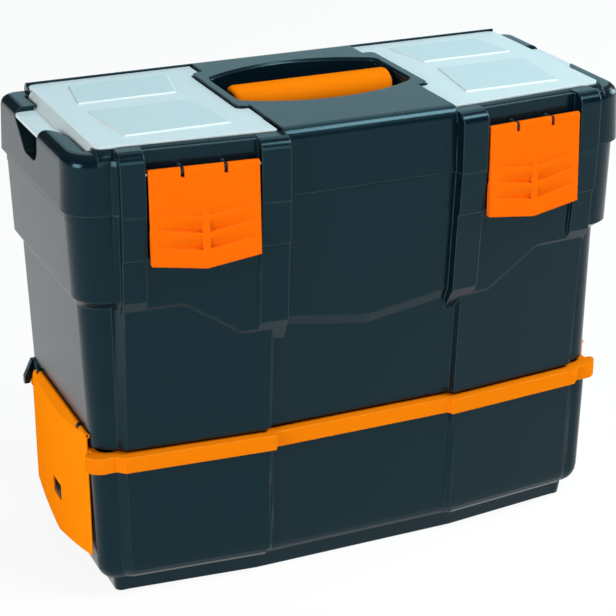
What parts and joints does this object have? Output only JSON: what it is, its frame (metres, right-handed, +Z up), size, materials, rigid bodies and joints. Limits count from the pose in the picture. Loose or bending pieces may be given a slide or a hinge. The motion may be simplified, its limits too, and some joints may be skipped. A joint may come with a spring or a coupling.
{
  "type": "tool box",
  "caption": "Two-storey tool box: a deep bin with an organiser lid and carrying grip, clipped onto a lower bin by swinging end plates.",
  "frame": {"origin": "on the underside of the lower bin, in the middle of the width", "axes": "+X to the right seen from the front, +Y to the back, +Z up"},
  "size_m": [0.5104, 0.2475, 0.414],
  "materials": {
    "dark_plastic": "satin moulded plastic with a fine grain",
    "orange_plastic": "satin moulded plastic",
    "clear_plastic": "milky clear moulded plastic",
    "steel": "drawn wire"
  },
  "bodies": {
    "lower_box": {"base_bin": "dark_plastic", "rim_band": "orange_plastic", "snap_peg_left": "dark_plastic", "snap_peg_right": "dark_plastic"},
    "upper_box": {"upper_bin": "dark_plastic", "lid_hinge_pin_left": "steel", "lid_hinge_pin_right": "steel", "side_latch_pin_left": "steel", "side_latch_pin_right": "steel"},
    "lid": {"lid_shell": "dark_plastic", "handle_bar": "dark_plastic", "handle_grip": "orange_plastic", "front_latch_pin_left": "steel", "front_latch_pin_right": "steel", "cover_pins_left": "steel", "cover_pins_right": "steel", "divider_left": "dark_plastic", "divider_right": "dark_plastic"},
    "latch_left": {"front_latch_left": "orange_plastic"},
    "latch_right": {"front_latch_right": "orange_plastic"},
    "organiser_cover_left": {"cover_left": "clear_plastic"},
    "organiser_cover_right": {"cover_right": "clear_plastic"},
    "end_plate_left": {"side_latch_left": "orange_plastic"},
    "end_plate_right": {"side_latch_right": "orange_plastic"}
  },
  "joints": [
    {"name": "upper_lift", "type": "slide", "parent": "lower_box", "child": "upper_box", "axis": [0, 0, 1], "range_m": [0, 0.16]},
    {"name": "lid_hinge", "type": "hinge", "parent": "upper_box", "child": "lid", "pos_m": [0, 0.11868, 0.3515], "axis": [-1, 0, 0], "range_deg": [0, 100]},
    {"name": "latch_left_swing", "type": "hinge", "parent": "lid", "child": "latch_left", "pos_m": [-0.14922, -0.11229, 0.3903], "axis": [-0.9963, 0.0863, 0], "range_deg": [0, 110]},
    {"name": "latch_right_swing", "type": "hinge", "parent": "lid", "child": "latch_right", "pos_m": [0.14922, -0.11229, 0.3903], "axis": [-0.9963, -0.0863, 0], "range_deg": [0, 110]},
    {"name": "cover_left_swing", "type": "hinge", "parent": "lid", "child": "organiser_cover_left", "pos_m": [-0.0805, 0, 0.4082], "axis": [0, 1, 0], "range_deg": [0, 95]},
    {"name": "cover_right_swing", "type": "hinge", "parent": "lid", "child": "organiser_cover_right", "pos_m": [0.0805, 0, 0.4082], "axis": [0, -1, 0], "range_deg": [0, 95]},
    {"name": "end_plate_left_swing", "type": "hinge", "parent": "upper_box", "child": "end_plate_left", "pos_m": [-0.2408, 0, 0.1521], "axis": [0, 1, 0], "range_deg": [0, 95]},
    {"name": "end_plate_right_swing", "type": "hinge", "parent": "upper_box", "child": "end_plate_right", "pos_m": [0.2408, 0, 0.1521], "axis": [0, -1, 0], "range_deg": [0, 95]}
  ]
}
